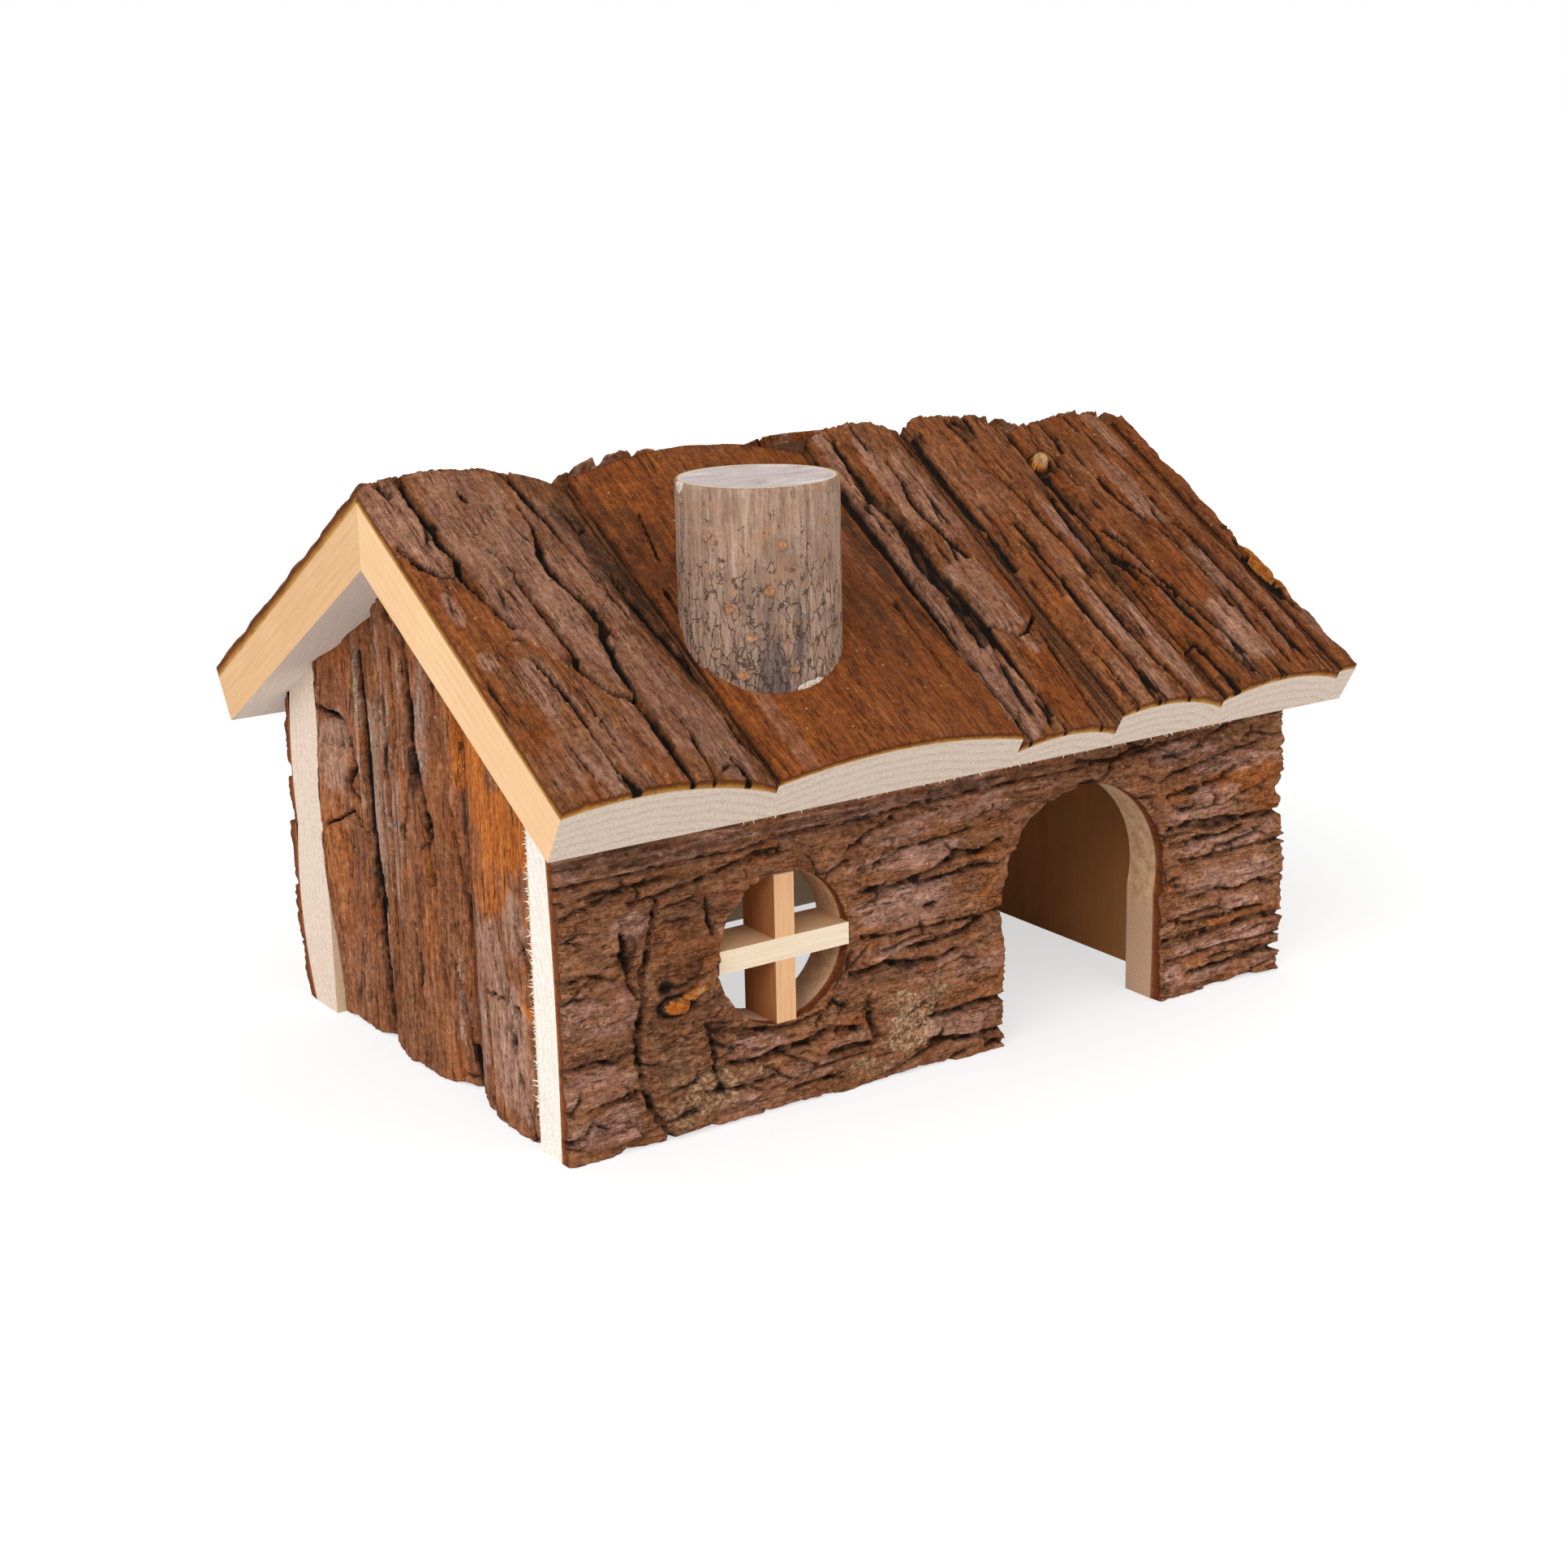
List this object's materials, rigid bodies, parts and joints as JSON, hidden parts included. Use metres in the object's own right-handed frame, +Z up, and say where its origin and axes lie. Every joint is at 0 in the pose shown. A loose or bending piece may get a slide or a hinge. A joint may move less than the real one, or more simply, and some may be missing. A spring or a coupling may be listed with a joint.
{
  "type": "small pet house",
  "caption": "Gabled wooden house for a small pet, built from bark-on log slabs, with an arched door, a round window with a slat cross and a log chimney.",
  "frame": {"origin": "middle of the footprint, on the surface that the house stands on", "axes": "+Z up; +X along the ridge, from the window's end to the door's end; -Y out of the long wall with the window and the door"},
  "size_m": [0.2, 0.1623, 0.1275],
  "materials": {
    "sawn_wood": "sawn, unfinished softwood",
    "bark": "rough natural bark"
  },
  "bodies": {
    "root": {"front_wall": "sawn_wood", "back_wall_1": "sawn_wood", "back_wall_2": "sawn_wood", "front_slab_1": "sawn_wood", "front_slab_2": "sawn_wood", "front_slab_3": "sawn_wood", "front_slab_4": "sawn_wood", "front_slab_5": "sawn_wood", "front_slab_6": "sawn_wood", "back_slab_1": "sawn_wood", "back_slab_2": "sawn_wood", "back_slab_3": "sawn_wood", "back_slab_4": "sawn_wood", "back_slab_5": "sawn_wood", "left_gable_1": "sawn_wood", "left_gable_2": "sawn_wood", "left_gable_3": "sawn_wood", "right_gable_1": "sawn_wood", "right_gable_2": "sawn_wood", "chimney_log": "sawn_wood", "window_upright": "sawn_wood", "window_rail": "sawn_wood", "front_wall_bark": "bark", "back_wall_1_bark": "bark", "back_wall_2_bark": "bark", "front_slab_1_bark": "bark", "front_slab_2_bark": "bark", "front_slab_3_bark": "bark", "front_slab_4_bark": "bark", "front_slab_5_bark": "bark", "front_slab_6_bark": "bark", "back_slab_1_bark": "bark", "back_slab_2_bark": "bark", "back_slab_3_bark": "bark", "back_slab_4_bark": "bark", "back_slab_5_bark": "bark", "left_gable_1_bark": "bark", "left_gable_2_bark": "bark", "left_gable_3_bark": "bark", "right_gable_1_bark": "bark", "right_gable_2_bark": "bark", "chimney_bark": "bark"}
  },
  "joints": []
}
